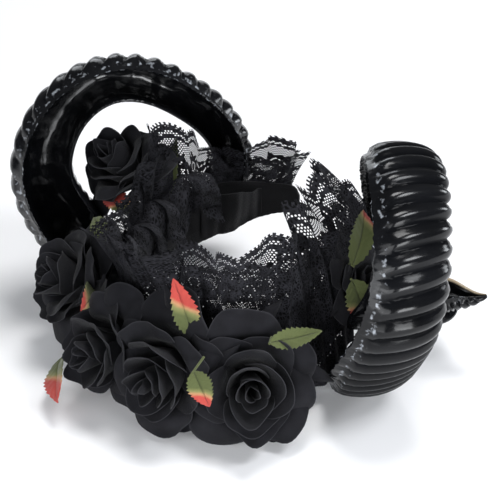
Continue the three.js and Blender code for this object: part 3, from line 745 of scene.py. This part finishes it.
def hoop_spot(spot):
    """The place of a turn round the hoop, and of shares of a leaf's length out and up from it."""
    point, outward, _ = hoop_place(np.array([float(spot[0])]))
    return point[0] + outward[0] * spot[1] * LEAF_LENGTH + UP * spot[2] * LEAF_LENGTH


def leaf_wall(u, v, row):
    _, base_spot, tip_spot, width, bow, _, faces = row
    base, tip = hoop_spot(base_spot), hoop_spot(tip_spot)
    length = np.linalg.norm(tip - base)
    along = (tip - base) / length
    across = np.cross(along, faces)
    across /= np.linalg.norm(across)
    face = np.cross(across, along)
    side = 2 * u - 1
    wide = width * LEAF_WIDTH
    shape = np.sin(np.pi * np.clip(v, 0, 1) ** 0.8) ** 0.75 * (1 - 0.12 * v)
    teeth = 1 + 0.26 * (0.5 - ((v * 11) % 1)) * np.abs(side) ** 6
    half = wide / 2 * np.maximum(shape, 0.02) * teeth
    middle = base + along * (v * length)[:, None] + face * (bow * LEAF_WIDTH * np.sin(np.pi * v))[:, None]
    veins = np.abs(np.sin((v * 7 - np.abs(side) * 1.6) * np.pi)) ** 6
    raised = 0.35 * veins * np.abs(side) * (1 - np.abs(side)) * 4 - 0.8 * np.exp(-(side / 0.07) ** 2)
    cup = np.abs(side) * half * 0.24 + 0.5 * np.sin(v * 9 + side * 2) + raised
    return middle + across * (side * half)[:, None] + face * cup[:, None]


leaf_cloth = Finish("leaf_cloth", 0.78, Sheen_Weight=0.15, Specular_IOR_Level=0.3)
place = leaf_cloth.add("ShaderNodeTexCoord")
ripe = leaf_cloth.add("ShaderNodeAttribute", attribute_name="ripe")
blotch = leaf_cloth.add("ShaderNodeTexNoise", {"Vector": place.outputs["Object"]}, Scale=90, Detail=4)
mixed = leaf_cloth.add("ShaderNodeMath", {0: blotch.outputs["Fac"], 2: ripe.outputs["Fac"]},
                       operation="MULTIPLY_ADD")
mixed.inputs[1].default_value = 0.35
green_to_red = leaf_cloth.ramp(mixed.outputs[0], [
    (0.26, (0.070, 0.085, 0.026)),
    (0.50, (0.165, 0.165, 0.058)),
    (0.66, (0.38, 0.20, 0.095)),
    (0.84, (0.37, 0.045, 0.034)),
])
leaf_cloth.link(green_to_red, "Base Color")
threads = leaf_cloth.add("ShaderNodeTexWave", {"Vector": place.outputs["UV"]}, Scale=30,
                         bands_direction="DIAGONAL")
leaf_cloth.link(leaf_cloth.bump(threads.outputs["Fac"], 0.0001, 0.4), "Normal")


rose_points = np.concatenate([[vertex.co for vertex in rose.data.vertices] for rose in roses]) * 1000


def leaf_stalk(row):
    """The wired stalk from the leaf's foot to the nearest rose, which holds the leaf."""
    foot = hoop_spot(row[1])
    holder = rose_points[np.argmin(np.linalg.norm(rose_points - foot, axis=1))]
    way = (holder - foot) / np.linalg.norm(holder - foot)
    a = np.cross(way, [0.3, 0.2, 0.93])
    a /= np.linalg.norm(a)
    b = np.cross(way, a)
    start, stop = foot - way * STALK_OVERLAP_MM, holder + way * STALK_OVERLAP_MM

    def stalk(u, v):
        around = 2 * np.pi * u
        ring = np.cos(around)[:, None] * a + np.sin(around)[:, None] * b
        return start + (stop - start) * v[:, None] + ring * STALK_RADIUS_MM

    piece = grid_piece("stalk", 8, 6, stalk, closed=True)
    return marked(piece, "ripe", np.zeros(len(piece.data.vertices), np.float32))


def leaf_piece(row):
    """A whole leaf. Its ripe mark rises to 1 where the print has turned red."""
    red = row[5]
    piece = grid_piece(f"{row[0]}_cloth", 16, 52, lambda u, v: leaf_wall(u, v, row), marks={
        "ripe": lambda u, v: np.clip((v + 0.35 * u - 1.1 + red) / 0.45, 0, 1) * min(1, 4 * red),
    })
    modified(piece, "SOLIDIFY", thickness=0.0005, offset=0)
    joined([piece, leaf_stalk(row)], piece.name)
    smooth(piece, 45)
    piece.data.materials.append(leaf_cloth.material)
    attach(piece, "root")
    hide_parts(row[0])


for row in LEAVES:
    leaf_piece(row)

# Lace ruffle: black floral lace, gathered along the band's outer face and standing above it in
# deep uneven folds. Its net, filled flowers, scallops and picots are real holes and threads.
LACE_HEIGHT = 96.0
LACE_FOOT = 4.0
LACE_FOOT_DROP = 19.0
LACE_DROP_TURN = 68.0
LACE_DROP_SPAN_TURN = 22.0
LACE_TAPE_MM = 9.0
LACE_BACK_SHARE = 0.86
LACE_END_FLARE = 12.0
LACE_FLARE_TURN = 135.0
LACE_STANDOFF = 3.0
LACE_END_TURN = 157.0
LACE_FULLNESS = 1.75
FOLD_PITCH_TURN = 25.0
PLEAT_PITCH_TURN = 6.8
PLEAT_DEEP = 1.3
ROLL_DEEP = 6.0
CRUMPLE_DEEP = 1.8
FRILL_BEND = 9.5
FRILL_HANG = 40.0
FRILL_CREASE_DEEP = 3.2
FRILL_WRINKLE_DEEP = 1.6
LACE_CELL = 1.7
LACE_THREAD = 0.38
SCALLOP_MM = 26.0
SCALLOP_DEEP = 7.0
FLOWER_PITCH_MM = 34.0
PICOT_STEP_MM = 1.15
# Columns: turn, height, outward lean at the top, fold depth; all but the turn as shares of the
# lace's height
LACE_PLACES = [
    (-157, 0.56, 0.00, 0.09),
    (-140, 0.58, 0.00, 0.09),
    (-125, 0.66, 0.02, 0.08),
    (-108, 0.92, 0.00, 0.09),
    (-92, 1.05, -0.02, 0.10),
    (-80, 1.05, -0.06, 0.10),
    (-67, 0.92, -0.06, 0.10),
    (-55, 0.80, 0.02, 0.10),
    (-45, 0.76, 0.10, 0.10),
    (-36, 0.86, 0.16, 0.10),
    (-25, 1.02, 0.21, 0.10),
    (-5, 1.06, 0.17, 0.12),
    (35, 1.06, 0.08, 0.12),
    (55, 1.02, -0.06, 0.10),
    (70, 1.00, -0.22, 0.09),
    (82, 1.00, -0.34, 0.08),
    (95, 1.00, -0.42, 0.07),
    (108, 1.00, -0.44, 0.07),
    (119, 1.04, -0.40, 0.06),
    (128, 0.52, -0.20, 0.06),
    (140, 0.46, -0.12, 0.06),
    (157, 0.42, -0.05, 0.06),
]


def lace_point(turn, share, layer):
    """Where a spot of the lace lies: turn round the hoop and share up its height. Layer 0 stands
    up, layer 1 is the frill that falls over the band's edge to the inside, and layer 2 is the
    lower frill that stands behind the front of layer 0."""
    point, outward, along = hoop_place(turn)
    lean = LACE_HEIGHT * table_curve(LACE_PLACES, 2, turn)
    deep = LACE_HEIGHT * table_curve(LACE_PLACES, 3, turn)
    opened = np.clip((share - 0.3) / 0.7, 0, 1.1)
    phase = turn / FOLD_PITCH_TURN * 2 * np.pi + 0.9 * np.sin(turn * 0.09 + 0.5) + 1.9 * layer
    phase = phase + 0.8 * opened * np.sin(turn * 0.05 + 1 + layer)
    pleats = PLEAT_DEEP * np.sin(turn / PLEAT_PITCH_TURN * 2 * np.pi + layer) * (1 - 0.75 * opened)
    fold = deep * opened ** 0.8 * (np.sin(phase) + 0.2 * np.sin(2 * phase + 1))
    slide = 0.42 * deep * opened * np.sin(2 * phase + 0.6)
    clear = BAND_WALL + LACE_STANDOFF - 1.4 * layer
    half = band_height(turn) / 2
    if layer == 1:
        straight = 2 * half - LACE_FOOT + 8 + 3 * np.sin(phase)
        over = np.clip(LACE_HEIGHT * share - straight, 0, None)
        bend = FRILL_BEND + 2 * np.sin(phase + 1)
        angle = np.minimum(over / bend, math.pi * 0.92)
        beyond = np.clip(over - bend * math.pi * 0.92, 0, None)
        hang = np.clip(over / FRILL_HANG, 0, 1)
        spots = np.stack([turn * 1.2, over, np.zeros_like(turn)], axis=1)
        creased = FRILL_CREASE_DEEP * ripple(spots, 13.0, 41) + FRILL_WRINKLE_DEEP * ripple(spots, 6.5, 42)
        creased = creased * hang
        out = clear - bend * (1 - np.cos(angle)) + 0.55 * fold * hang + pleats - 0.12 * beyond + creased
        high = np.minimum(LACE_HEIGHT * share, straight) + bend * np.sin(angle) - beyond + 0.8 * creased
        placed = point + outward * out[:, None] + along * (1.3 * slide)[:, None]
        placed[:, 2] = point[:, 2] - half + LACE_FOOT + high
        return placed
    height = LACE_HEIGHT * table_curve(LACE_PLACES, 1, turn)
    if layer == 2:
        height, lean = LACE_BACK_SHARE * height, 0.35 * lean
    dropped = LACE_FOOT_DROP * np.exp(-((turn - LACE_DROP_TURN) / LACE_DROP_SPAN_TURN) ** 2)
    foot = LACE_FOOT - dropped
    above = np.clip(share - 0.4, 0, 1) / 0.6
    roll = ROLL_DEEP * above ** 3 * np.sin(phase * 0.5 + 1.2)
    spots = np.stack([turn * 1.2, 60 * share, np.zeros_like(turn)], axis=1)
    crumple = CRUMPLE_DEEP * ripple(spots, 17.0, 31 + layer) * opened
    out = clear + np.maximum(fold + pleats, 0.8 - clear) + lean * above ** 1.6 + roll + 1.6 * crumple
    flare = 0.7 * dropped * (1 - share) ** 2
    near_end = np.clip((-turn - LACE_FLARE_TURN) / (LACE_END_TURN - LACE_FLARE_TURN), 0, 1)
    beyond_end = -LACE_END_FLARE * near_end ** 1.5 * np.clip(share, 0, 1.1) ** 1.5
    rise = (height - foot) * share - 2.5 * above ** 2 * (1 - np.cos(phase))
    placed = point + outward * (out + flare)[:, None] + along * (slide + beyond_end)[:, None]
    placed[:, 2] = point[:, 2] - half + foot + rise
    return placed


def flat_turns():
    """Turns along the hoop, and the lace's flat length up to each of them."""
    turns = np.linspace(-LACE_END_TURN, LACE_END_TURN, 4000)
    point, _, _ = hoop_place(turns)
    run = np.concatenate([[0], np.cumsum(np.linalg.norm(np.diff(point, axis=0), axis=1))])
    return turns, run * LACE_FULLNESS


turn_knots, flat_knots = flat_turns()


def flower_fill(x, y):
    """True where the pattern is worked solid: five-petalled flowers and leaf sprays; the border is added by
    lace_sheet.
    """
    filled = np.zeros(len(x), bool)
    pitch = FLOWER_PITCH_MM
    for row, level in enumerate((14.0, 40.0, 66.0)):
        cx = (np.floor(x / pitch - 0.5 * (row % 2)) + 0.5 + 0.5 * (row % 2)) * pitch
        dx, dy = x - cx, y - level - 3 * np.sin(cx)
        far = np.hypot(dx, dy)
        angle = np.arctan2(dy, dx) + cx * 0.7
        petal = 13.5 * (0.62 + 0.38 * np.abs(np.cos(2.5 * angle)))
        vein = np.abs(np.sin(5 * angle)) < 0.16
        filled |= (far < petal) & ~((far > 3.2) & (far < 4.6)) & ~(vein & (far > 8))
        spray_x = dx - pitch / 2
        spray_x = spray_x - pitch * np.round(spray_x / pitch)
        tilt = 0.9 * np.sin(cx + row)
        a = spray_x * np.cos(tilt) + dy * np.sin(tilt)
        b = -spray_x * np.sin(tilt) + dy * np.cos(tilt)
        filled |= ((a / 12) ** 2 + (b / 4.2) ** 2 < 1) & (np.abs(b) > 0.5)
    return filled


def lace_sheet(name, from_turn, to_turn, layer):
    """A flat piece of lace made cell by cell and laid along the ruffle. Gives the piece, and the
    length and height that it was cut to, in metres."""
    start, stop = np.interp([from_turn, to_turn], turn_knots, flat_knots)
    cell, row_step = LACE_CELL, LACE_CELL * math.sqrt(3) / 2
    columns = int((stop - start) / cell)
    rows = int(LACE_HEIGHT / row_step)
    j, i = np.divmod(np.arange(columns * rows), columns)
    x = start + (i + 0.5 + 0.5 * (j % 2)) * cell
    y = (j + 0.5) * row_step
    edge = LACE_HEIGHT - SCALLOP_DEEP * (1 - np.abs(np.sin(np.pi * x / SCALLOP_MM))) - 1.5
    keep = y < edge
    x, y, edge = x[keep], y[keep], edge[keep]
    border = (np.abs(edge - y - 1.5) < 2.2) | (np.abs(edge - y - 7.5) < 1.2)
    solid = flower_fill(x, y) | (y < LACE_TAPE_MM) | border
    radius = cell / math.sqrt(3)
    spokes = np.radians(np.arange(6) * 60 + 30)
    ring = np.stack([np.cos(spokes), np.sin(spokes)], axis=1) * radius
    corners = np.stack([x, y], axis=1)[:, None, :] + ring[None]
    keys = np.round(corners.reshape(-1, 2) / (radius * 0.25)).astype(np.int64)
    _, first, where = np.unique(keys, axis=0, return_index=True, return_inverse=True)
    flat = corners.reshape(-1, 2)[first]
    outer = where.reshape(-1, 6)
    hole = 1 - LACE_THREAD / (radius * 0.9)
    net = np.flatnonzero(~solid)
    inner_flat = (np.stack([x[net], y[net]], axis=1)[:, None, :] + ring[None] * hole).reshape(-1, 2)
    inner = len(flat) + np.arange(len(net) * 6).reshape(-1, 6)
    points = np.concatenate([flat, inner_flat])
    ahead = np.roll(np.arange(6), -1)
    quads = np.stack([outer[net], outer[net][:, ahead], inner[:, ahead], inner], axis=2).reshape(-1, 4)
    hexes = outer[solid]
    faces = [tuple(face) for face in quads.tolist()] + [tuple(face) for face in hexes.tolist()]

    run = np.arange(start, stop, PICOT_STEP_MM)
    curve = LACE_HEIGHT - SCALLOP_DEEP * (1 - np.abs(np.sin(np.pi * run / SCALLOP_MM))) - 1.2
    slope = np.gradient(curve, run)
    away = np.stack([-slope, np.ones_like(slope)], axis=1)
    away /= np.linalg.norm(away, axis=1, keepdims=True)
    line = np.stack([run, curve], axis=1)
    count, beads = len(points), len(run)
    cord_points = np.concatenate([line - away * 0.5, line + away * 0.5, line + away * 2.0])
    points = np.concatenate([points, cord_points])
    at = np.arange(beads - 1) + count
    cord = np.stack([at, at + 1, at + 1 + beads, at + beads], axis=1)
    at = at[::2] + beads
    picots = np.stack([at, at + 1, at + 1 + beads, at + beads], axis=1)
    faces += [tuple(face) for face in cord.tolist() + picots.tolist()]

    turns = np.interp(points[:, 0], flat_knots, turn_knots)
    placed = lace_point(turns, points[:, 1] / LACE_HEIGHT, layer) / 1000
    mesh = bpy.data.meshes.new(name)
    mesh.from_pydata(placed.tolist(), [], faces)
    mesh.update()
    piece = bpy.data.objects.new(name, mesh)
    bpy.context.collection.objects.link(piece)
    chart = mesh.uv_layers.new(name="UVMap")
    loops = np.empty(len(mesh.loops), np.int64)
    mesh.loops.foreach_get("vertex_index", loops)
    chart.data.foreach_set("uv", (points[loops] / 10).ravel())
    tall = LACE_HEIGHT
    if layer != 1:
        tall = table_curve(LACE_PLACES, 1, turns).mean() * LACE_HEIGHT
    if layer == 2:
        tall = tall * LACE_BACK_SHARE
    return piece, (stop - start) / 1000, tall / 1000


lace_thread = Finish("lace_thread", 0.9, Specular_IOR_Level=0.15)
place = lace_thread.add("ShaderNodeTexCoord")
knots = lace_thread.add("ShaderNodeTexVoronoi", {"Vector": place.outputs["UV"]}, Scale=5.2,
                        feature="DISTANCE_TO_EDGE")
worn = lace_thread.add("ShaderNodeTexNoise", {"Vector": place.outputs["UV"]}, Scale=1.1, Detail=3)
black = lace_thread.ramp(knots.outputs["Distance"], [
    (0.08, (0.024, 0.024, 0.029)),
    (0.24, (0.0008, 0.0008, 0.0012)),
])
dull = lace_thread.ramp(worn.outputs["Fac"], [
    (0.35, (0.45, 0.45, 0.45)),
    (0.65, (1.0, 1.0, 1.0)),
])
thread = lace_thread.add("ShaderNodeMix", data_type="RGBA", blend_type="MULTIPLY")
thread.inputs["Factor"].default_value = 1.0
lace_thread.tree.links.new(black, thread.inputs[6])
lace_thread.tree.links.new(dull, thread.inputs[7])
lace_thread.link(thread.outputs[2], "Base Color")
lace_thread.link(lace_thread.bump(knots.outputs["Distance"], 0.0003, 0.7), "Normal")

# Columns: name, from turn, to turn, layer, the solid that it stands in for
LACE_PIECES = [
    ("lace_left_net", -157, -55, 0, "lace_left"),
    ("lace_front_net", -55, 55, 0, "lace_front"),
    ("lace_right_net", 55, 157, 0, "lace_right"),
    ("lace_frill_left", -112, -46, 1, None),
    ("lace_frill_right", 58, 116, 1, None),
    ("lace_frill_end", -157, -118, 2, None),
    ("lace_frill_back_left", -104, -30, 2, None),
    ("lace_frill_back_right", -30, 120, 2, None),
]
for name, from_turn, to_turn, layer, node in LACE_PIECES:
    lace, length, tall = lace_sheet(name, from_turn, to_turn, layer)
    lace.data.materials.append(lace_thread.material)
    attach(lace, "root")
    if node:
        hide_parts(node)
